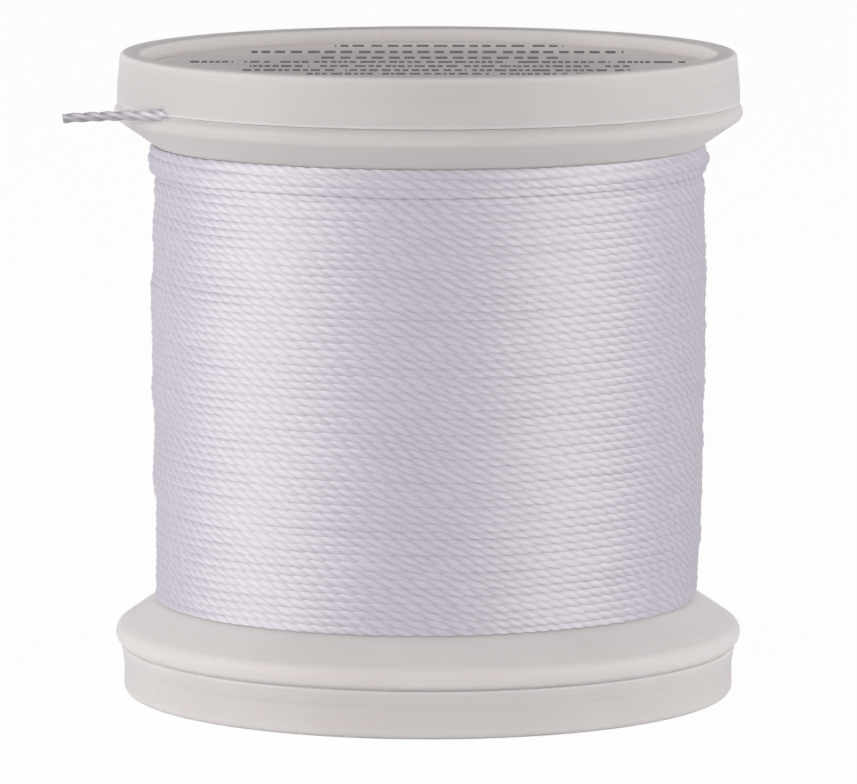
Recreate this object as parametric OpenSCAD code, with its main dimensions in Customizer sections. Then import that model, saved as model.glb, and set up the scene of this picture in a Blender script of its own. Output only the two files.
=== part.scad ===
// Thread reel: a spool body with a bead flange at each end, two end caps that snap open to trap
// the thread, a paper label disc, the wound thread and its free end.
// The axis is Z, the foot is at z = 0, and the free end leaves towards -X.

/* [Overall] */
// Height from the foot to the top edge
height = 32.12; // [26:0.01:60]

/* [Spindle and core] */
// Radius of the bore that takes a spindle
bore_r = 3.5; // [2.5:0.05:4]
// Wall of each cap's sleeve
sleeve_wall = 1.25; // [1:0.05:1.5]
// Radial running clearance between sleeve and core tube
sleeve_gap = 0.05; // [0.03:0.01:0.1]
// Wall of the core tube
core_wall = 1.2; // [1:0.05:2]

/* [Flanges] */
// Radius of a flange over its bead
bead_r = 15.65; // [15.3:0.05:20]
// Radius of the lower bead's rounded edge
lower_bead_round = 0.62; // [0.4:0.01:0.8]
// Radius of the upper bead's rounded edge
upper_bead_round = 0.46; // [0.4:0.01:0.8]
// Angle of the cone on the thread's side, from flat
cone_angle = 34.6; // [25:0.1:40]
// Radius where the cone ends, under the thread
cone_foot_r = 12.6; // [11.5:0.1:13]
// Wall between the thread and the moulded pocket
flange_wall = 1.2; // [0.8:0.05:1.6]
// Radius of the neck that the thread runs round in the slit
neck_r = 12.25; // [11:0.05:12.8]
// Wall of the neck
neck_wall = 1.2; // [0.8:0.05:2]

/* [End caps] */
// Height of the upper cap's rim
upper_cap_h = 2.45; // [2:0.05:4]
// Height of the lower cap's rim
lower_cap_h = 2.4; // [2:0.05:4]
// How far the upper cap's end face lies inside the bead
upper_edge_inset = 0.3; // [0:0.01:0.6]
// How far the upper cap's rim lies inside the bead, past halfway to the seam
upper_mid_inset = 0.17; // [0:0.01:0.6]
// How far the upper cap's rim lies inside the bead at the seam
upper_seam_inset = 0.15; // [0:0.01:0.6]
// How far the lower cap's end face lies inside the bead
lower_edge_inset = 0.4; // [0:0.01:0.6]
// How far the lower cap's rim lies inside the bead, past halfway to the seam
lower_mid_inset = 0.42; // [0:0.01:0.6]
// How far the lower cap's rim lies inside the bead at the seam
lower_seam_inset = 0.28; // [0:0.01:0.6]
// How far the recess in a cap's end face lies inside the bead
recess_inset = 1.35; // [1.25:0.05:1.8]
// Rounding of the rim's crown
crown_round = 0.2; // [0.15:0.01:0.25]
// Rounding of the lower rim's outer edge, over the foot
foot_round = 0.42; // [0.15:0.01:0.45]
// Rounding of the rim's edge at the seam
seam_round = 0.1; // [0.05:0.01:0.12]
// Thickness of the cap's plate
plate_t = 1.05; // [0.6:0.05:1.2]

/* [Thread slit] */
// Height of the slit between the cap's plate and the seam
slit_h = 0.55; // [0.5:0.01:0.7]
// Gap that shows as the seam when a cap is shut
seam_gap = 0.03; // [0.03:0.01:0.2]
// Gap between the neck and the cap's plate when a cap is shut
seat_gap = 0.02; // [0.01:0.01:0.05]
// Clearance of the two thread notches round the thread
notch_gap = 0.06; // [0.05:0.01:0.12]

/* [Snap] */
// How far a cap springs open
snap_travel = 1.2; // [0.8:0.1:1.6]
// Length of the sleeve below the cap's plate
sleeve_l = 6; // [5.6:0.1:9]
// Distance from the plate to the snap ridge
ridge_at = 4.4; // [3:0.1:4.5]
// Length of the snap ridge along the sleeve
ridge_l = 0.8; // [0.5:0.05:1]
// Height of the snap ridge over the sleeve
ridge_h = 0.3; // [0.2:0.01:0.4]
// Clearance at each end and over the top of the ridge in its groove
ridge_gap = 0.05; // [0.03:0.01:0.1]
// Width of the slots that let the sleeve flex
slot_w = 0.8; // [0.5:0.05:1.2]
// Length of the sleeve left whole next to the plate
slot_root = 1.6; // [1:0.1:2.4]

/* [Label] */
// Gap between the label's edge and the rim
label_gap = 0.3; // [0.1:0.05:1]
// Thickness of the label
label_t = 0.1; // [0.08:0.01:0.2]

/* [Thread] */
// Diameter of the thread
thread_d = 0.5; // [0.4:0.01:0.55]
// Radius over the outer turns at the top
wind_top_r = 13.93; // [13.7:0.01:14.1]
// Radius over the outer turns at the foot
wind_bottom_r = 13.72; // [13.5:0.01:14.1]
// How far the last turn stands out from the others
last_turn_rise = 0.12; // [0:0.01:0.2]
// Turns of the outer layer that are drawn
turns = 24; // [8:1:24]

/* [Hidden] */
$fn = 96;

plastic = "#dcd8d6";
paper = "#b9b5b3";
thread_colour = "#efecf3";

// Caps, measured in from the bead
recess_r = bead_r - recess_inset;

// Core, from the spindle outwards
sleeve_r = bore_r + sleeve_wall;
core_bore_r = sleeve_r + sleeve_gap;
core_r = core_bore_r + core_wall;

// Planes of the two seams
lower_seam_z = lower_cap_h;
upper_seam_z = height - upper_cap_h;

// Flanges: pockets open at the seam, and a depth is measured from the seam towards the thread
pocket_in_r = core_r + 0.2;
pocket_out_r = neck_r - neck_wall;
neck_h = slit_h - seat_gap;
draft = 0.25;

// Ridge and groove, measured from the cap's plate along the sleeve
ridge_r = sleeve_r + ridge_h;
groove_r = ridge_r + ridge_gap;
groove_from = ridge_at - snap_travel - ridge_gap;
groove_to = ridge_at + ridge_l + ridge_gap;
ridge_lead = ridge_h;

label_r = recess_r - label_gap;
bore_chamfer = 0.3;
rim_mid_share = 0.65;

// Outer layer of thread over a plain core
thread_r = thread_d / 2;
turn_sink = 0.1;
wall_gap = 0.05;
turn_edge = (thread_r + wall_gap) / cos(cone_angle);
rings_per_turn = 24;
ring_sides = 6;

// Depth of a flange's inner face at radius r, for a bead of this rounding
function cone_top_r(round) = bead_r - round + round * sin(cone_angle);
function cone_top_depth(round) = seam_gap + round + round * cos(cone_angle);
function cone_depth(r, round) =
    cone_top_depth(round) + (cone_top_r(round) - max(r, cone_foot_r)) * tan(cone_angle);
function flat_depth(round) = cone_depth(cone_foot_r, round);

first_turn_z = lower_seam_z + cone_depth(wind_bottom_r - thread_r, lower_bead_round) + turn_edge;
last_turn_z = upper_seam_z - cone_depth(wind_top_r - thread_r, upper_bead_round) - turn_edge;

// Centre of the outer layer after a number of turns, wound clockwise and upwards from the back
turn_start = 112;
function turn_climb(n) = n / turns;
function turn_rise(n) = last_turn_rise * min(1, max(0, n - turns + 1));
function turn_r(n) =
    wind_bottom_r + (wind_top_r - wind_bottom_r) * turn_climb(n) - thread_r + turn_rise(n);
function turn_z(n) = first_turn_z + (last_turn_z - first_turn_z) * turn_climb(n);
function turn_point(n) =
    let (a = turn_start - 360 * n)
    [turn_r(n) * cos(a), turn_r(n) * sin(a), turn_z(n)];

// The tube's inner end comes square out of the core, then bends into the first turn
first_dir = [cos(turn_start), sin(turn_start), 0];
along_dir = [sin(turn_start), -cos(turn_start), 0];
inner_end = [for (s = [[-1.1, -0.8], [-0.6, -0.8], [-0.25, -0.7], [-0.05, -0.45]])
    turn_point(0) + s[0] * first_dir + s[1] * along_dir];
turn_path = concat(inner_end, [for (k = [0:turns * rings_per_turn]) turn_point(k / rings_per_turn)]);

// Least distance between neighbouring turns, measured on the rings
least_turn_gap = min([for (k = [0:(turns - 1) * rings_per_turn])
    for (j = [rings_per_turn - 1:rings_per_turn + 1])
        if (k + j <= turns * rings_per_turn)
            norm(turn_point((k + j) / rings_per_turn) - turn_point(k / rings_per_turn)) - thread_d]);
echo(least_gap_between_turns_mm = least_turn_gap);

// Route of the free end: off the last turn, over the bead at the back, into the slit,
// round the neck and out at the front left
entry_out = [5.1, 14.95, 29.6];
entry_in = [7.45, 11.9, 29.85];
exit_in = [-9.6, -9.65, 29.8];
exit_out = [-13.6, -8, 29.65];
tail_route = [
    turn_point(turns),
    [-3.8, 13.35, 27.15],
    [-2.4, 13.85, 27.35],
    [-1, 14.45, 27.7],
    [0.25, 15, 28.1],
    [1.5, 15.55, 28.55],
    [2.6, 15.7, 28.93],
    [3.6, 15.55, 29.22],
    [4.45, 15.3, 29.45],
    entry_out,
    entry_in,
    [9, 9.65, 29.91],
    [10, 7.95, 29.93],
    [10.9, 6.3, 29.93],
    [12.15, 3.25, 29.93],
    [12.6, 0, 29.93],
    [12.15, -3.25, 29.93],
    [10.9, -6.3, 29.93],
    [8.9, -8.9, 29.93],
    [6.3, -10.9, 29.93],
    [3.25, -12.15, 29.93],
    [0, -12.6, 29.93],
    [-3.25, -12.15, 29.93],
    [-6.1, -11.1, 29.9],
    exit_in,
    exit_out,
    [-14.6, -7.65, 29.61],
    [-15.6, -7.35, 29.56],
    [-16.7, -7, 29.48],
    [-17.85, -6.65, 29.39],
];
rings_per_step = 2;
tail_sides = 8;

// Point between b and c of a smooth curve through a, b, c and d
function curve_point(a, b, c, d, t) =
    0.5 * (2 * b + (c - a) * t + (2 * a - 5 * b + 4 * c - d) * t * t + (3 * b - a - 3 * c + d) * t * t * t);
function smooth_path(p, steps) =
    let (last = len(p) - 1)
    concat(
        [for (i = [0:last - 1]) for (s = [0:steps - 1])
            curve_point(p[max(0, i - 1)], p[i], p[i + 1], p[min(last, i + 2)], s / steps)],
        [p[last]]
    );
tail_path = smooth_path(tail_route, rings_per_step);
function path_length(p) = len(p) < 2 ? 0 : norm(p[1] - p[0]) + path_length([for (i = [1:len(p) - 1]) p[i]]);
echo(free_end_length_mm = path_length(tail_path));

// Points of an arc in a profile, from angle a to angle b
function arc(centre, r, a, b, steps = 8) =
    [for (i = [0:steps]) centre + r * [cos(a + (b - a) * i / steps), sin(a + (b - a) * i / steps)]];

// A round tube along a path that never runs upright
module tube(path, r, sides) {
    last = len(path) - 1;
    rings = [for (i = [0:last])
        let (ahead = path[min(last, i + 1)] - path[max(0, i - 1)])
        let (side = cross(ahead, [0, 0, 1]) / norm(cross(ahead, [0, 0, 1])))
        let (over = cross(side, ahead) / norm(ahead))
        for (k = [0:sides - 1])
            let (a = 360 * (k + 0.5) / sides)
            path[i] + r * (cos(a) * side + sin(a) * over)];
    walls = [for (i = [0:last - 1]) for (k = [0:sides - 1])
        let (p = i * sides + k)
        let (q = i * sides + (k + 1) % sides)
        for (f = [[p, p + sides, q], [q, p + sides, q + sides]]) f];
    near_end = [for (k = [1:sides - 2]) [0, k, k + 1]];
    far_end = [for (k = [1:sides - 2]) [last * sides, last * sides + k + 1, last * sides + k]];
    polyhedron(points = rings, faces = concat(walls, near_end, far_end));
}

// Straight room for the thread between two points of its route
module thread_room(from, to, r) {
    run = to - from;
    translate(from)
        rotate([0, acos(run[2] / norm(run)), atan2(run[1], run[0])])
            cylinder(r = r, h = norm(run));
}

// Share of a bead's rounding that lies inside the cap's edge, where the flange's face ends
function face_share(round, seam_inset) = max(0, (round - seam_inset - seam_round) / round);

// Half section of one flange and its end of the core tube: radius, and depth from the seam
function flange_outline(round, seam_inset) = concat(
    [
        [core_bore_r, groove_to - neck_h],
        [groove_r, groove_to - neck_h],
        [groove_r, groove_from - neck_h],
        [core_bore_r, groove_from - neck_h],
        [core_bore_r, bore_chamfer - neck_h],
        [core_bore_r + bore_chamfer, -neck_h],
        [core_r, -neck_h],
        [pocket_in_r + draft, flat_depth(round) - flange_wall],
        [pocket_out_r - draft, flat_depth(round) - flange_wall],
        [pocket_out_r, -neck_h],
        [neck_r, -neck_h],
        [neck_r, seam_gap],
        [bead_r - round * (1 - face_share(round, seam_inset)), seam_gap],
    ],
    arc([bead_r - round, seam_gap + round], round, -acos(face_share(round, seam_inset)), 90 - cone_angle, 12),
    [
        [cone_foot_r, flat_depth(round)],
        [core_r, flat_depth(round)],
    ]
);

module spool_body() {
    lower_end = flange_outline(lower_bead_round, lower_seam_inset);
    lower = [for (p = lower_end) [p[0], lower_seam_z + p[1]]];
    upper_end = flange_outline(upper_bead_round, upper_seam_inset);
    upper = [for (i = [len(upper_end) - 1:-1:0]) [upper_end[i][0], upper_seam_z - upper_end[i][1]]];
    color(plastic)
        difference() {
            rotate_extrude()
                polygon(concat(lower, upper));
            thread_room(entry_out, entry_in, thread_r);
            thread_room(exit_in, exit_out, thread_r);
        }
}

// Half section of a cap: radius, and depth from its end face
function cap_outline(cap_h, edge_round, edge_inset, mid_inset, seam_inset) =
    let (edge_r = bead_r - edge_inset)
    let (seam_r = bead_r - seam_inset)
    let (plate_under = cap_h - slit_h)
    let (floor_depth = plate_under - plate_t)
    concat(
        [
            [bore_r + bore_chamfer, floor_depth],
            [recess_r, floor_depth],
        ],
        arc([recess_r + crown_round, crown_round], crown_round, 180, 270, 6),
        arc([edge_r - edge_round, edge_round], edge_round, -90, 0, 6),
        [[bead_r - mid_inset, cap_h * rim_mid_share]],
        arc([seam_r - seam_round, cap_h - seam_round], seam_round, 0, 90, 4),
        [
            [recess_r, cap_h],
            [recess_r, plate_under],
            [sleeve_r, plate_under],
            [sleeve_r, plate_under + ridge_at],
            [ridge_r, plate_under + ridge_at],
            [ridge_r, plate_under + ridge_at + ridge_l - ridge_lead],
            [sleeve_r, plate_under + ridge_at + ridge_l],
            [sleeve_r, plate_under + sleeve_l],
            [bore_r, plate_under + sleeve_l],
            [bore_r, floor_depth + bore_chamfer],
        ]
    );

// A cap with its end face at z = 0 and its sleeve upwards
module cap(cap_h, edge_round, edge_inset, mid_inset, seam_inset) {
    slots_from = cap_h - slit_h + slot_root;
    slots_h = sleeve_l - slot_root;
    difference() {
        rotate_extrude()
            polygon(cap_outline(cap_h, edge_round, edge_inset, mid_inset, seam_inset));
        for (a = [45, 135])
            rotate(a)
                translate([-ridge_r - 1, -slot_w / 2, slots_from])
                    cube([2 * ridge_r + 2, slot_w, slots_h + 1]);
    }
}

module lower_cap() {
    color(plastic)
        cap(lower_cap_h, foot_round, lower_edge_inset, lower_mid_inset, lower_seam_inset);
}

module upper_cap() {
    color(plastic)
        difference() {
            translate([0, 0, height])
                mirror([0, 0, 1])
                    cap(upper_cap_h, crown_round, upper_edge_inset, upper_mid_inset, upper_seam_inset);
            thread_room(entry_out, entry_in, thread_r + notch_gap);
            thread_room(exit_in, exit_out, thread_r + notch_gap);
        }
}

module label_disc() {
    label_z = height - upper_cap_h + slit_h + plate_t;
    color(paper)
        translate([0, 0, label_z])
            cylinder(r = label_r, h = label_t);
}

// One end of the pack, from the core out to radius r, along the flange's flat and cone
function pack_end(r, round) =
    let (end_depth = flat_depth(round) + wall_gap)
    let (cone_end = [r, cone_depth(r, round) + wall_gap / cos(cone_angle)])
    let (flat_end = [min(cone_foot_r, r), end_depth])
    concat([[core_r + wall_gap, end_depth], flat_end], r > cone_foot_r ? [cone_end] : []);

// Everything under the outer layer of turns
module wound_pack() {
    lower_end = pack_end(wind_bottom_r - thread_d + turn_sink, lower_bead_round);
    lower = [for (p = lower_end) [p[0], lower_seam_z + p[1]]];
    upper_end = pack_end(wind_top_r - thread_d + turn_sink, upper_bead_round);
    upper = [for (i = [len(upper_end) - 1:-1:0]) [upper_end[i][0], upper_seam_z - upper_end[i][1]]];
    color(thread_colour)
        rotate_extrude()
            polygon(concat(lower, upper));
}

module wound_turns() {
    color(thread_colour)
        tube(turn_path, thread_r, ring_sides);
}

module thread_tail() {
    color(thread_colour)
        tube(tail_path, thread_r, tail_sides);
}

spool_body();
upper_cap();
lower_cap();
label_disc();
wound_pack();
wound_turns();
thread_tail();
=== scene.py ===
"""Looks of the thread reel: its plastic body and caps, the label, the winding and the free end.

Lengths are millimetres, in the CAD model's frame, and MM turns them into metres for Blender.
"""

import math

import bpy
import numpy as np
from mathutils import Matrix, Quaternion, Vector


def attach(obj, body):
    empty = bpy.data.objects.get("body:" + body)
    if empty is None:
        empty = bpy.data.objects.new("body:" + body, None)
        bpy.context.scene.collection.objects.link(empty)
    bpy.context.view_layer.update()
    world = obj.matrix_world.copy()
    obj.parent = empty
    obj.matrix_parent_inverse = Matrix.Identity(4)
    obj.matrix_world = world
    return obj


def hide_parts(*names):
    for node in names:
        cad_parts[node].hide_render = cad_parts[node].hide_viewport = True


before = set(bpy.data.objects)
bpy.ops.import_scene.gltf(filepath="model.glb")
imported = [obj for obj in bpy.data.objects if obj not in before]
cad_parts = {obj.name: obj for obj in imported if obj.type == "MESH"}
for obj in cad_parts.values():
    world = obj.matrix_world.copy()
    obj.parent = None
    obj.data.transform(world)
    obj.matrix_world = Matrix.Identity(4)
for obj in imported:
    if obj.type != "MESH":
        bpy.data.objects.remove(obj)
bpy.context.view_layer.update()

MM = 0.001
TURN = 2 * math.pi

# --- Driving sizes, as in the CAD source ---

REEL_H = 32.12
SEAMS_Z = (2.4, 29.67)
RECESS_R = 14.34
# Just under the floor of the label's recess
RECESS_FLOOR_Z = 31.2
CORE_R = 6.0
THREAD_D = 0.5
PLIES = 3
PLY_PITCH = 2.4

# --- Camera ---

PHOTO_WIDTH_PX = 857
FOCAL_PX = 7900
SENSOR_MM = 36
CLIP_M = (0.01, 10)
REEL_CENTRE = Vector((0, 0, 16.1))
CAMERA_ELEVATION = 7.214
CAMERA_DISTANCE = 395
CAMERA_ROLL = 0.05
AIM = Vector((0.0125, 0, 15.03))


def add_object(name, data):
    thing = bpy.data.objects.new(name, data)
    bpy.context.scene.collection.objects.link(thing)
    return thing


def direction(azimuth, elevation):
    """The way out from the reel. Azimuth 0 is the camera's side, and 90 degrees is the right."""
    a, e = math.radians(azimuth), math.radians(elevation)
    return Vector((math.sin(a) * math.cos(e), -math.cos(a) * math.cos(e), math.sin(e)))


def set_up(thing, place, way, roll=0):
    """Puts a camera or a lamp at a place, where it looks along a way. roll is in degrees."""
    thing.location = place * MM
    thing.rotation_mode = "QUATERNION"
    about_view = Quaternion((0, 0, 1), math.radians(roll))
    thing.rotation_quaternion = way.to_track_quat("-Z", "Y") @ about_view


def make_camera():
    data = bpy.data.cameras.new("camera")
    data.sensor_width = SENSOR_MM
    data.lens = FOCAL_PX / PHOTO_WIDTH_PX * SENSOR_MM
    data.clip_start, data.clip_end = CLIP_M
    camera = add_object("camera", data)
    place = REEL_CENTRE + direction(0, CAMERA_ELEVATION) * CAMERA_DISTANCE
    set_up(camera, place, AIM - place, CAMERA_ROLL)
    bpy.context.scene.camera = camera


make_camera()

# --- Mesh tools ---

YARN_UV = "yarn"


def mesh_piece(name, points, faces, material, uvs=None):
    """A smooth mesh object. points are millimetres, and uvs has one pair for each face corner."""
    mesh = bpy.data.meshes.new(name)
    mesh.from_pydata((np.asarray(points) * MM).tolist(), [], faces)
    if uvs is not None:
        layer = mesh.uv_layers.new(name=YARN_UV)
        layer.data.foreach_set("uv", np.asarray(uvs, np.float32).ravel())
    mesh.shade_smooth()
    mesh.materials.append(material)
    return add_object(name, mesh)


def lengths_along(path):
    return np.concatenate([[0], np.cumsum(np.linalg.norm(np.diff(path, axis=0), axis=1))])


def unit_rows(vectors):
    return vectors / np.linalg.norm(vectors, axis=1)[:, None]


def smooth_noise(rng, at, step):
    """Smooth random values from -1 to 1 along positions at, with knots a step apart."""
    knots = int((at.max() - at.min()) / step) + 4
    values = rng.uniform(-1, 1, knots)
    place = (at - at.min()) / step + 1
    low = np.floor(place).astype(int)
    share = place - low
    share = share * share * (3 - 2 * share)
    return values[low] * (1 - share) + values[low + 1] * share


def unevenness(rng, at, layers):
    """Sum of smooth noises. A layer is its size and its step."""
    return sum(size * smooth_noise(rng, at, step) for size, step in layers)


# --- Yarn: a twisted tube whose ridges are its plies ---

# Radius of the cross-section round one ply, from groove to groove, as a share of the yarn's
PLY_OUTLINE = (0.7, 0.92, 1.0, 0.92)
SIDES = PLIES * len(PLY_OUTLINE)


def yarn_rings(centres, side, out, twist, width, thickness, outline=PLY_OUTLINE):
    """Points of the yarn's rings. twist is each ring's turn about the path, in radians."""
    share = np.tile(outline, PLIES)
    around = TURN * np.arange(SIDES) / SIDES
    angle = twist[:, None] + around[None, :]
    across = (1 + share) / 2 * np.cos(angle) * width / 2
    outwards = share * np.sin(angle) * thickness / 2
    return (centres[:, None, :] + across[:, :, None] * side[:, None, :]
            + outwards[:, :, None] * out[:, None, :])


def yarn_piece(name, rings, lengths, material):
    """A closed tube through the rings. lengths is how far along the yarn each ring lies."""
    last_ring = (len(rings) - 1) * SIDES
    ring = np.arange(0, last_ring, SIDES)[:, None]
    k = np.arange(SIDES)[None, :]
    following = (k + 1) % SIDES
    quads = np.stack([ring + k, ring + following, ring + SIDES + following, ring + SIDES + k], -1)
    along = lengths[:, None] / PLY_PITCH
    low, high, left, right = np.broadcast_arrays(along[:-1], along[1:], k / SIDES, (k + 1) / SIDES)
    corners = ((low, left), (low, right), (high, right), (high, left))
    uvs = np.stack([np.stack(corner, -1) for corner in corners], 2)
    end_uvs = np.zeros((2 * SIDES, 2))
    near_end = list(range(SIDES))[::-1]
    far_end = list(range(last_ring, last_ring + SIDES))
    piece = mesh_piece(name, rings.reshape(-1, 3),
                       quads.reshape(-1, 4).tolist() + [near_end, far_end], material,
                       np.concatenate([uvs.reshape(-1, 2), end_uvs]))
    for end in piece.data.polygons[-2:]:
        end.use_smooth = False
    return piece


# --- Shader nodes ---

# Places of the colour sockets on a Mix node, where several sockets share a name
MIX_A, MIX_B, MIX_RESULT = 6, 7, 2


def set_inputs(node, values):
    for socket, value in values.items():
        node.inputs[socket].default_value = value


class Graph:
    """A node tree, with short calls for the nodes that it is made of."""

    def __init__(self, tree):
        self.nodes = tree.nodes
        self.links = tree.links

    def plug(self, value, socket):
        """Gives a socket a plain value or another node's output."""
        if isinstance(value, bpy.types.NodeSocket):
            self.links.new(value, socket)
        else:
            socket.default_value = value

    def math(self, operation, *values):
        node = self.nodes.new("ShaderNodeMath")
        node.operation = operation
        for socket, value in zip(node.inputs, values):
            self.plug(value, socket)
        return node.outputs[0]

    def vector(self, operation, first, second=None):
        """Output of a Vector Math node. second is a number for SCALE, or else a vector."""
        node = self.nodes.new("ShaderNodeVectorMath")
        node.operation = operation
        self.plug(first, node.inputs[0])
        if second is not None:
            self.plug(second, node.inputs["Scale" if operation == "SCALE" else 1])
        return node.outputs["Value" if operation == "LENGTH" else "Vector"]

    def place(self):
        """The object's own coordinates, in metres."""
        return self.nodes.new("ShaderNodeTexCoord").outputs["Object"]

    def split(self, vector):
        """The x, y and z of a vector."""
        node = self.nodes.new("ShaderNodeSeparateXYZ")
        self.links.new(vector, node.inputs["Vector"])
        return tuple(node.outputs)

    def off_axis(self):
        """The level vector from the reel's axis to the place, in metres."""
        return self.vector("MULTIPLY", self.place(), (1, 1, 0))

    def noise(self, coordinates, stretch, detail):
        """Output of a noise texture. stretch is how many features a unit has, along each axis."""
        mapping = self.nodes.new("ShaderNodeMapping")
        mapping.inputs["Scale"].default_value = stretch
        texture = self.nodes.new("ShaderNodeTexNoise")
        set_inputs(texture, {"Scale": 1, "Detail": detail})
        self.links.new(coordinates, mapping.inputs["Vector"])
        self.links.new(mapping.outputs["Vector"], texture.inputs["Vector"])
        return texture.outputs["Fac"]

    def ramp(self, factor, low, high):
        """Output of a colour ramp. A stop is its position, and its colour or its grey."""
        node = self.nodes.new("ShaderNodeValToRGB")
        for element, (position, tone) in zip(node.color_ramp.elements, (low, high)):
            element.position = position
            element.color = (*tone, 1) if isinstance(tone, tuple) else (tone, tone, tone, 1)
        self.links.new(factor, node.inputs["Fac"])
        return node.outputs["Color"]

    def mix(self, factor, first, second, blend="MIX"):
        node = self.nodes.new("ShaderNodeMix")
        node.data_type = "RGBA"
        node.blend_type = blend
        self.plug(factor, node.inputs["Factor"])
        self.plug(first, node.inputs[MIX_A])
        self.plug(second, node.inputs[MIX_B])
        return node.outputs[MIX_RESULT]

    def multiply(self, colour, *others):
        for other in others:
            colour = self.mix(1, colour, other, "MULTIPLY")
        return colour

    def softened_normal(self, share):
        """The surface's normal, drawn by a share towards the way straight out from the axis."""
        surface = self.nodes.new("ShaderNodeNewGeometry").outputs["Normal"]
        out = self.vector("SCALE", self.vector("NORMALIZE", self.off_axis()), share)
        kept = self.vector("SCALE", surface, 1 - share)
        return self.vector("NORMALIZE", self.vector("ADD", out, kept))

    def bump(self, shader, height, distance, strength, normal=None):
        node = self.nodes.new("ShaderNodeBump")
        if normal is not None:
            self.links.new(normal, node.inputs["Normal"])
        set_inputs(node, {"Strength": strength, "Distance": distance * MM})
        self.links.new(height, node.inputs["Height"])
        self.links.new(node.outputs["Normal"], shader.inputs["Normal"])

    def mix_surface(self, factor, first, second, output):
        """Mixes two shaders into the surface of an output node."""
        node = self.nodes.new("ShaderNodeMixShader")
        self.links.new(factor, node.inputs["Fac"])
        self.links.new(first, node.inputs[1])
        self.links.new(second, node.inputs[2])
        self.links.new(node.outputs["Shader"], self.nodes[output].inputs["Surface"])


def new_material(name):
    material = bpy.data.materials.new(name)
    material.use_nodes = True
    graph = Graph(material.node_tree)
    return material, graph, graph.nodes["Principled BSDF"]


# --- Materials ---

YARN_SURFACE = {
    "Roughness": 0.55, "IOR": 2.0, "Specular IOR Level": 1, "Specular Tint": (1, 0.97, 0.91, 1),
    "Anisotropic": 0.9, "Anisotropic Rotation": 0.25,
}
YARN_TONE = (0.64, 0.6, 0.7)
# Tones of the darker fibres and of the cloudy places, as a share of the paler ones
FIBRE_SHADE = 0.89
CLOUDY_SHADE = 0.93
# The free end leaves the rim this far out from the axis, and beyond it painted shade makes it
# darker than over the rim
FREE_FROM_X = 15.9
FREE_BLEND = 2
FREE_PAINTED_SHADE = 0.66


def yarn_material(name, painted_light, painted_groove_shade, softness, painted_shade_beyond_rim=False):
    """Satin filament yarn. The UV map runs along the yarn and once round its plies. Its tone
    carries painted light, and painted shade darkens the grooves between its plies.
    """
    material, graph, shader = new_material(name)
    set_inputs(shader, YARN_SURFACE)
    uv_map = graph.nodes.new("ShaderNodeUVMap")
    uv_map.uv_map = YARN_UV
    uv = uv_map.outputs["UV"]
    fibres = graph.noise(uv, (1.5, 45, 1), 2)
    uneven = graph.noise(uv, (1.2, 3, 1), 2)
    round_plies = graph.math("MULTIPLY", graph.split(uv)[1], PLIES)
    off_groove = graph.math("PINGPONG", round_plies, 0.5)
    # Painted shade, darker towards each groove between the plies
    shade_painted_in_grooves = graph.ramp(off_groove, (0, painted_groove_shade), (0.3, 1))
    # Painted light: each copy of the yarn scales its tone by its own share of painted light
    streaks = graph.ramp(fibres, (0.3, tuple(FIBRE_SHADE * painted_light * c for c in YARN_TONE)),
                         (0.7, tuple(painted_light * c for c in YARN_TONE)))
    cloudy = graph.ramp(uneven, (0.3, CLOUDY_SHADE), (0.7, 1))
    colour = graph.multiply(streaks, cloudy, shade_painted_in_grooves)
    if painted_shade_beyond_rim:
        # Painted shade on the free end beyond the rim
        inwards = graph.math("MULTIPLY_ADD", graph.split(graph.place())[0],
                             1 / (FREE_BLEND * MM), FREE_FROM_X / FREE_BLEND)
        colour = graph.multiply(colour, graph.ramp(inwards, (0, FREE_PAINTED_SHADE), (1, 1)))
    graph.links.new(colour, shader.inputs["Base Color"])
    graph.bump(shader, fibres, 0.01, 0.5, graph.softened_normal(softness))
    tangent = graph.nodes.new("ShaderNodeTangent")
    tangent.direction_type = "UV_MAP"
    tangent.uv_map = YARN_UV
    graph.links.new(tangent.outputs["Tangent"], shader.inputs["Tangent"])
    return material


PLASTIC_SURFACE = {
    "IOR": 1.49, "Specular IOR Level": 0.2, "Subsurface Weight": 1,
    "Subsurface Radius": (1.0, 0.96, 0.93), "Subsurface Scale": 1 * MM,
}
PLASTIC_TONES = ((0.645, 0.606, 0.6), (0.683, 0.644, 0.638))
RUBBED_SHADE = 0.96
SPECK_TONE = (0.84, 0.81, 0.79)
SPECK_CELLS_PER_M = 160
# Painted light, standing in for light that comes through the plastic: its tone, and how much of
# that tone each place has
PAINTED_LIGHT_TONE = (0.86, 0.825, 0.815, 1)
PAINTED_LIGHT_AT_SEAM = 0.8
PAINTED_LIGHT_IN_RECESS = 0.55


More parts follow.
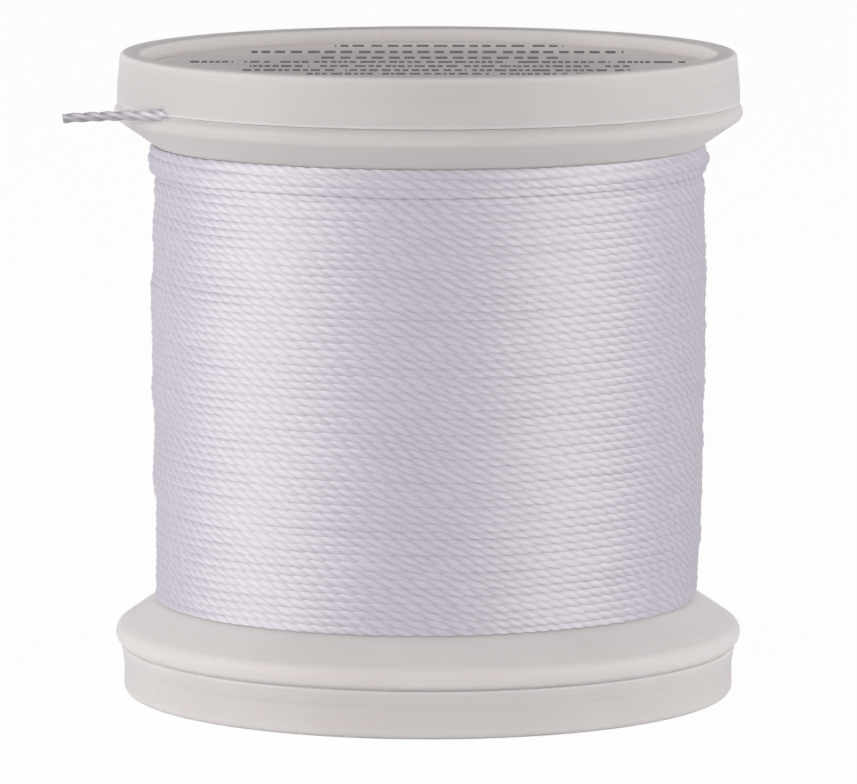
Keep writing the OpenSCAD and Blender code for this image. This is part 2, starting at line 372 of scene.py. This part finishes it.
def plastic_material(name, painted_light_at_foot, painted_light_at_head):
    """Translucent moulded plastic with soft clouds, fine lines round the rims and a few specks,
    and painted light: darker towards the top, paler at the seams and in the label's recess.
    """
    material, graph, shader = new_material(name)
    set_inputs(shader, PLASTIC_SURFACE)
    place = graph.place()
    z_m = graph.split(place)[2]
    z = graph.math("DIVIDE", z_m, MM)
    clouds = graph.noise(place, (150, 150, 150), 3)
    lines = graph.noise(place, (90, 90, 6000), 2)
    cells = graph.nodes.new("ShaderNodeTexVoronoi")
    cells.inputs["Scale"].default_value = SPECK_CELLS_PER_M
    graph.links.new(place, cells.inputs["Vector"])
    tone = graph.ramp(clouds, (0.3, PLASTIC_TONES[0]), (0.7, PLASTIC_TONES[1]))
    height = graph.math("DIVIDE", z_m, REEL_H * MM)
    # Painted light and shade by height: lighter towards the foot, darker towards the top
    painted_light_by_height = graph.ramp(height, (0.1, painted_light_at_foot), (0.9, painted_light_at_head))
    rubbed = graph.ramp(lines, (0.55, 1), (0.8, RUBBED_SHADE))
    specks = graph.ramp(cells.outputs["Distance"], (0.01, SPECK_TONE), (0.02, 1))
    colour = graph.multiply(tone, painted_light_by_height, rubbed, specks)
    # Light is painted on both edges at the upper seam, and only on the upper edge at the lower one
    from_lower, from_upper = (graph.math("SUBTRACT", z, seam) for seam in SEAMS_Z)
    under_lower = graph.math("LESS_THAN", from_lower, 0)
    off_lower = graph.math("MAXIMUM", from_lower, under_lower)
    off_seam = graph.math("MINIMUM", off_lower, graph.math("ABSOLUTE", from_upper))
    seam_painted_light = graph.ramp(off_seam, (0.03, PAINTED_LIGHT_AT_SEAM), (0.14, 0))
    radius_m = graph.vector("LENGTH", graph.off_axis())
    # Painted light in the label's recess
    in_recess = graph.math("MULTIPLY", graph.math("LESS_THAN", radius_m, RECESS_R * MM),
                           graph.math("GREATER_THAN", z_m, RECESS_FLOOR_Z * MM))
    painted_light_share = graph.math("MAXIMUM", seam_painted_light, graph.math("MULTIPLY", in_recess, PAINTED_LIGHT_IN_RECESS))
    graph.links.new(graph.mix(painted_light_share, colour, PAINTED_LIGHT_TONE), shader.inputs["Base Color"])
    roughness = graph.math("MULTIPLY_ADD", lines, 0.2, 0.32)
    graph.links.new(roughness, shader.inputs["Roughness"])
    graph.bump(shader, lines, 0.004, 0.5, graph.softened_normal(0.3))
    return material


# Print on the label, in rows: each row's centre, height, start and end on the paper
BOLD_ROWS = [
    (12.0, 1.2, -4.8, 6.9), (8.3, 1.45, -9.0, 9.9), (4.95, 1.3, -5.7, 6.5), (-9.2, 1.3, -6.6, 6.4),
]
FINE_ROWS = [
    (2.5, 1.1, -12.0, 12.9), (0.1, 1.1, -8.9, 10.0), (-2.2, 1.1, -9.2, 10.1),
    (-4.2, 1.0, -6.1, 7.8), (-6.6, 1.0, -8.2, 8.6), (-11.6, 1.0, -3.9, 3.6),
]
BOLD_PITCH = 0.8
BOLD_SHARE = 0.68
FINE_PITCH = 0.5
FINE_SHARE = 0.72
# Keeps the count of bars above zero all over the label
FIRST_BAR = 100

SHEET_TONES = ((0.84, 0.76, 0.76), (0.92, 0.84, 0.84))
INK_TONES = ((0.065, 0.062, 0.062), (0.16, 0.15, 0.15))
# Painted shade: the sheet is darker out to this share of the recess's radius, and pales from there
# to its edge
SHEET_MIDDLE = 0.58
MIDDLE_PAINTED_SHADE = 0.62


def paper_material():
    """Coated paper with rows of plain upright bars for its print, and painted shade over its
    middle.
    """
    material, graph, shader = new_material("label_paper")
    place = graph.place()
    x, y = (graph.math("DIVIDE", part, MM) for part in graph.split(place)[:2])

    def bars(rows, pitch, share, wander, gaps):
        """1 on the bars of the rows and 0 elsewhere. Higher gaps leave out more of the bars."""
        number = 0
        for row, (centre, height, start, end) in enumerate(rows, 1):
            inside = graph.math("MULTIPLY", graph.math("COMPARE", y, centre, height / 2),
                                graph.math("COMPARE", x, (start + end) / 2, (end - start) / 2))
            number = graph.math("MAXIMUM", number, graph.math("MULTIPLY", inside, row))
        along = graph.nodes.new("ShaderNodeCombineXYZ")
        graph.links.new(x, along.inputs["X"])
        graph.links.new(number, along.inputs["Y"])
        uneven = graph.noise(along.outputs["Vector"], (0.42, 3.7, 0), 2)
        words = graph.noise(along.outputs["Vector"], (0.8, 5.3, 0), 1)
        count = graph.math("ADD", graph.math("MULTIPLY_ADD", x, 1 / pitch, FIRST_BAR),
                           graph.math("MULTIPLY", uneven, wander))
        on_bar = graph.math("COMPARE", graph.math("FRACT", count), 0.5, share / 2)
        on_word = graph.math("MULTIPLY", on_bar, graph.math("GREATER_THAN", words, gaps))
        return graph.math("MULTIPLY", on_word, graph.math("GREATER_THAN", number, 0.5))

    printed = graph.math("MAXIMUM", bars(BOLD_ROWS, BOLD_PITCH, BOLD_SHARE, wander=1.5, gaps=0),
                         bars(FINE_ROWS, FINE_PITCH, FINE_SHARE, wander=6, gaps=0.36))
    worn = graph.noise(place, (900, 900, 900), 3)
    fibres = graph.noise(place, (2500, 2500, 2500), 2)
    outwards = graph.math("DIVIDE", graph.vector("LENGTH", graph.off_axis()), RECESS_R * MM)
    # Painted shade over the middle of the sheet, paling towards its edge
    painted_light_share = graph.ramp(outwards, (SHEET_MIDDLE, MIDDLE_PAINTED_SHADE), (1, 1))
    sheet = graph.ramp(fibres, (0.3, SHEET_TONES[0]), (0.7, SHEET_TONES[1]))
    ink = graph.ramp(worn, (0.35, INK_TONES[0]), (0.75, INK_TONES[1]))
    colour = graph.mix(printed, graph.multiply(sheet, painted_light_share), ink)
    graph.links.new(colour, shader.inputs["Base Color"])
    roughness = graph.math("MULTIPLY_ADD", printed, 0.1, 0.6)
    graph.links.new(roughness, shader.inputs["Roughness"])
    graph.bump(shader, fibres, 0.004, 0.3)
    return material


# Three copies of one yarn, lit and shaded by painted light and painted shade
tail_yarn = yarn_material("tail_yarn", painted_light=1.05, painted_groove_shade=0.6, softness=0,
                          painted_shade_beyond_rim=True)
yarn = yarn_material("yarn", painted_light=1.02, painted_groove_shade=0.8, softness=0.5)
inner_yarn = yarn_material("inner_yarn", painted_light=1, painted_groove_shade=1, softness=0)
body_plastic = plastic_material("body_plastic", painted_light_at_foot=1.02, painted_light_at_head=0.89)
cap_plastic = plastic_material("cap_plastic", painted_light_at_foot=0.985, painted_light_at_head=0.935)
label_paper = paper_material()

# --- Free end, first of the pieces ---

LAST_TURN = (-5.1696, 12.7951, 27.215)
TAIL_ROUTE = [
    LAST_TURN,
    (-3.8, 13.35, 27.15),
    (-2.4, 13.85, 27.35),
    (-1, 14.45, 27.7),
    (0.25, 15, 28.1),
    (1.5, 15.55, 28.55),
    (2.6, 15.7, 28.93),
    (3.6, 15.55, 29.22),
    (4.45, 15.3, 29.45),
    (5.1, 14.95, 29.6),
    (7.45, 11.9, 29.85),
    (9, 9.65, 29.91),
    (10, 7.95, 29.93),
    (10.9, 6.3, 29.93),
    (12.15, 3.25, 29.93),
    (12.6, 0, 29.93),
    (12.15, -3.25, 29.93),
    (10.9, -6.3, 29.93),
    (8.9, -8.9, 29.93),
    (6.3, -10.9, 29.93),
    (3.25, -12.15, 29.93),
    (0, -12.6, 29.93),
    (-3.25, -12.15, 29.93),
    (-6.1, -11.1, 29.9),
    (-9.6, -9.65, 29.8),
    (-13.6, -8, 29.65),
    (-14.6, -7.65, 29.61),
    (-15.6, -7.35, 29.56),
    (-16.7, -7, 29.48),
    (-17.85, -6.65, 29.39),
]
TAIL_STEPS = 16
# The free end's twist has opened a little, so its plies stand apart
TAIL_PITCH = 2.6
TAIL_OUTLINE = (0.5, 0.88, 1.0, 0.88)
# The two notches, where the yarn fills the plastic's clearance
NOTCHES = [(6.3, 13.4, 29.72), (-12.8, -8.3, 29.68)]
NOTCH_REACH = 1.2
NOTCH_SWELL = 0.12


def smooth_path(route, steps):
    """Points along a smooth curve through the route."""
    p = np.array([route[0], *route, route[-1]], float)
    t = (np.arange(steps) / steps)[None, :, None]
    a, b, c, d = (p[i:len(p) - 3 + i][:, None, :] for i in range(4))
    curve = 0.5 * (2 * b + (c - a) * t + (2 * a - 5 * b + 4 * c - d) * t ** 2
                   + (3 * b - a - 3 * c + d) * t ** 3)
    return np.concatenate([curve.reshape(-1, 3), p[-1:]])


def make_tail():
    path = smooth_path(TAIL_ROUTE, TAIL_STEPS)
    ahead = unit_rows(np.gradient(path, axis=0))
    side = unit_rows(np.cross(ahead, (0, 0, 1)))
    over = np.cross(side, ahead)
    length = lengths_along(path)
    twist = -TURN * length / TAIL_PITCH
    away = np.min([np.linalg.norm(path - notch, axis=1) for notch in NOTCHES], axis=0)
    width = (THREAD_D * (1 + NOTCH_SWELL * np.exp(-(away / NOTCH_REACH) ** 2)))[:, None]
    rings = yarn_rings(path, side, over, twist, width, width, TAIL_OUTLINE)
    tail = yarn_piece("free_end", rings, length, tail_yarn)
    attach(tail, "reel")
    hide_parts("thread_tail")


make_tail()

# --- Winding: the outer layer, in level rows that step up behind ---

ROWS = 57
ROW_START = math.radians(112)
# Share of each turn in which the yarn steps up to the next row
STEP_SHARE = 0.28
FIRST_TURN = 0.22
FIRST_ROW_Z = 4.97
TOP_ROW_RISE = 0.1
YARN_WIDTH = 0.56
YARN_THICKNESS = 0.42
RINGS_PER_TURN = 510
WINDING_PIECES = 4
SEED = 7
# Turns in which the yarn comes up from the layer below, evens out, and joins the free end
START_TURNS = 0.04
EVEN_TURNS = 0.5
END_TURNS = 0.25
# Unevenness of the height, the radius, the twist in whole turns, and the width as a share.
# Each layer is its size, and its step in turns.
WANDER = [(0.02, 0.11), (0.012, 0.043), (0.025, 0.77)]
LIFT = [(0.015, 0.07), (0.012, 0.025), (0.02, 0.83)]
SLACK = [(0.22, 0.06), (0.4, 0.9)]
SQUEEZE = [(0.07, 0.05)]
# Height, and radius over the turns at the left and at the right, from the foot up
WINDING_OUTLINE = [
    (4.8, 13.68, 13.43), (5.5, 13.65, 13.5), (6.9, 13.63, 13.55), (7.6, 13.64, 13.67),
    (9.7, 13.61, 13.7), (10.3, 13.78, 13.75), (10.9, 13.82, 13.77), (12.0, 13.75, 13.72),
    (12.7, 13.73, 13.81), (13.3, 13.72, 13.75), (14.3, 13.73, 13.78), (14.9, 13.86, 13.81),
    (16.0, 13.81, 13.85), (17.5, 13.79, 13.86), (19.6, 13.89, 13.86), (20.5, 13.88, 13.89),
    (21.4, 13.75, 13.9), (22.2, 13.73, 13.84), (23.5, 13.79, 13.79), (24.7, 13.64, 13.76),
    (25.4, 13.68, 13.83), (25.9, 13.61, 13.66), (26.15, 13.63, 13.67), (26.4, 13.9, 13.84),
    (26.7, 14.01, 14.01), (27.1, 13.93, 13.97), (27.4, 13.78, 13.75),
]


def outline_r(z, angle):
    """Radius over the turns at a height, and at an angle from the right."""
    heights, left, right = zip(*WINDING_OUTLINE)
    share = (1 + np.cos(angle)) / 2
    return np.interp(z, heights, left) * (1 - share) + np.interp(z, heights, right) * share


def winding_path(rng):
    """Ring centres, their outward direction and their turn number."""
    first_ring = int(FIRST_TURN * RINGS_PER_TURN)
    turn = np.arange(first_ring, ROWS * RINGS_PER_TURN + 1) / RINGS_PER_TURN
    to_end = ROWS - turn
    pitch = (LAST_TURN[2] - FIRST_ROW_Z) / (ROWS - 1)
    step = np.clip(turn % 1 / STEP_SHARE, 0, 1)
    climb = np.floor(turn) - 1 + step * step * (3 - 2 * step)
    uneven = np.clip(to_end / EVEN_TURNS, 0, 1)
    top_row = np.clip(turn - (ROWS - 1), 0, 1)
    z = (FIRST_ROW_Z + pitch * climb + uneven * unevenness(rng, turn, WANDER)
         + TOP_ROW_RISE * np.sin(np.pi * top_row))
    angle = ROW_START - TURN * turn
    r = outline_r(z, angle) - YARN_THICKNESS / 2 + uneven * unevenness(rng, turn, LIFT)
    end_r = math.hypot(LAST_TURN[0], LAST_TURN[1])
    own = np.clip(to_end / END_TURNS, 0, 1)
    r = r * own + end_r * (1 - own)
    r -= YARN_THICKNESS * np.clip(1 - (turn - FIRST_TURN) / START_TURNS, 0, 1)
    out = np.stack([np.cos(angle), np.sin(angle), np.zeros_like(angle)], -1)
    centres = out * r[:, None]
    centres[:, 2] = z
    return centres, out, turn


def make_winding():
    rng = np.random.default_rng(SEED)
    centres, out, turn = winding_path(rng)
    side = np.cross(out, unit_rows(np.gradient(centres, axis=0)))
    length = lengths_along(centres)
    twist = TURN * (length / PLY_PITCH + unevenness(rng, turn, SLACK))
    squeeze = 1 + unevenness(rng, turn, SQUEEZE)
    rings = yarn_rings(centres, side, out, twist, (YARN_WIDTH * squeeze)[:, None],
                       (YARN_THICKNESS / squeeze)[:, None])
    # Each piece ends behind, where the angle of the path is a quarter turn
    behind = (ROW_START - math.pi / 2) / TURN
    ends = [ROWS * n // WINDING_PIECES + behind for n in range(1, WINDING_PIECES)]
    cuts = [0, *np.searchsorted(turn, ends), len(rings) - 1]
    for number, (start, end) in enumerate(zip(cuts[:-1], cuts[1:]), 1):
        part = slice(start, end + 1)
        piece = yarn_piece(f"winding_{number}", rings[part], length[part], yarn)
        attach(piece, "reel")
    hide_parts("wound_turns")


make_winding()

# --- Winding under the outer layer ---

UNDER_DEPTH = 0.13
UNDER_RINGS = 150
UNDER_COLUMNS = 180
UNDER_INNER_R = CORE_R + 0.1
UNDER_FIRST_Z = FIRST_ROW_Z + 0.1
# Radius and height of the layer's outer corners
UNDER_TOP = (13.6, 27.42)
UNDER_FOOT = (13.4, 4.93)
# Radius at which the plies have their true pitch
UNDER_PITCH_R = 13.5


def make_under_layer():
    heights = np.linspace(UNDER_FIRST_Z, LAST_TURN[2], UNDER_RINGS)
    angle = TURN * np.arange(UNDER_COLUMNS) / UNDER_COLUMNS
    rings = [(UNDER_INNER_R, UNDER_FOOT[1]), UNDER_FOOT,
             *((outline_r(z, angle) - UNDER_DEPTH, z) for z in heights),
             UNDER_TOP, (UNDER_INNER_R, UNDER_TOP[1])]
    points = np.concatenate([
        np.stack(np.broadcast_arrays(r * np.cos(angle), r * np.sin(angle), z), -1)
        for r, z in rings])
    along = TURN * UNDER_PITCH_R / PLY_PITCH / UNDER_COLUMNS
    faces = []
    uvs = []
    for i, (_, z) in enumerate(rings):
        j = (i + 1) % len(rings)
        low, high = z / YARN_WIDTH, rings[j][1] / YARN_WIDTH
        for k in range(UNDER_COLUMNS):
            n = (k + 1) % UNDER_COLUMNS
            faces.append([ring * UNDER_COLUMNS + column
                          for ring, column in ((i, k), (i, n), (j, n), (j, k))])
            left, right = k * along, (k + 1) * along
            uvs += [(left, low), (right, low), (right, high), (left, high)]
    piece = mesh_piece("under_layer", points, faces, inner_yarn, uvs)
    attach(piece, "reel")
    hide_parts("wound_pack")


make_under_layer()

# --- Plastic and label: CAD nodes with their materials ---

for node, material in (("spool_body", body_plastic), ("upper_cap", cap_plastic),
                       ("lower_cap", cap_plastic), ("label_disc", label_paper)):
    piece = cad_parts[node]
    piece.data.materials.clear()
    piece.data.materials.append(material)

# --- Floor, background and lamps ---

FLOOR_SURFACE = {"Base Color": (0.95, 0.95, 0.95, 1), "Roughness": 0.9}
# Share of plain white in what the camera sees of the floor
FLOOR_WHITE = 0.96
FLOOR_HALF = 1500
AMBIENT = 0.385
# Name, azimuth and watts of each lamp
LAMPS = [("left_softbox", -63, 1.37), ("right_softbox", 67, 1.15)]
LAMP_ELEVATION = 6
LAMP_DISTANCE = 400
LAMP_WIDTH = 420
LAMP_HEIGHT = 200


def make_floor():
    material, graph, shader = new_material("floor")
    set_inputs(shader, FLOOR_SURFACE)
    glow = graph.nodes.new("ShaderNodeEmission")
    glow.inputs["Strength"].default_value = 1
    rays = graph.nodes.new("ShaderNodeLightPath").outputs
    share = graph.math("MULTIPLY", rays["Is Camera Ray"], FLOOR_WHITE)
    graph.mix_surface(share, shader.outputs["BSDF"], glow.outputs["Emission"], "Material Output")
    corners = [(-1, -1, 0), (1, -1, 0), (1, 1, 0), (-1, 1, 0)]
    floor = mesh_piece("floor", np.array(corners) * FLOOR_HALF, [(0, 1, 2, 3)], material)


def make_world():
    world = bpy.data.worlds.new("studio")
    bpy.context.scene.world = world
    world.use_nodes = True
    graph = Graph(world.node_tree)
    ambient = graph.nodes["Background"]
    set_inputs(ambient, {"Color": (1, 1, 1, 1), "Strength": AMBIENT})
    seen = graph.nodes.new("ShaderNodeBackground")
    seen.inputs["Strength"].default_value = 1
    rays = graph.nodes.new("ShaderNodeLightPath").outputs
    share = graph.math("MAXIMUM", rays["Is Camera Ray"], rays["Is Glossy Ray"])
    share = graph.math("MAXIMUM", share, rays["Is Transmission Ray"])
    graph.mix_surface(share, ambient.outputs["Background"], seen.outputs["Background"],
                      "World Output")


def make_lamp(name, azimuth, power):
    """A softbox that looks at the reel."""
    data = bpy.data.lights.new(name, "AREA")
    data.shape = "RECTANGLE"
    data.size, data.size_y = LAMP_WIDTH * MM, LAMP_HEIGHT * MM
    data.energy = power
    out = direction(azimuth, LAMP_ELEVATION)
    set_up(add_object(name, data), REEL_CENTRE + out * LAMP_DISTANCE, -out)


make_floor()
make_world()
for name, azimuth, power in LAMPS:
    make_lamp(name, azimuth, power)

bpy.context.scene.view_settings.view_transform = "Standard"
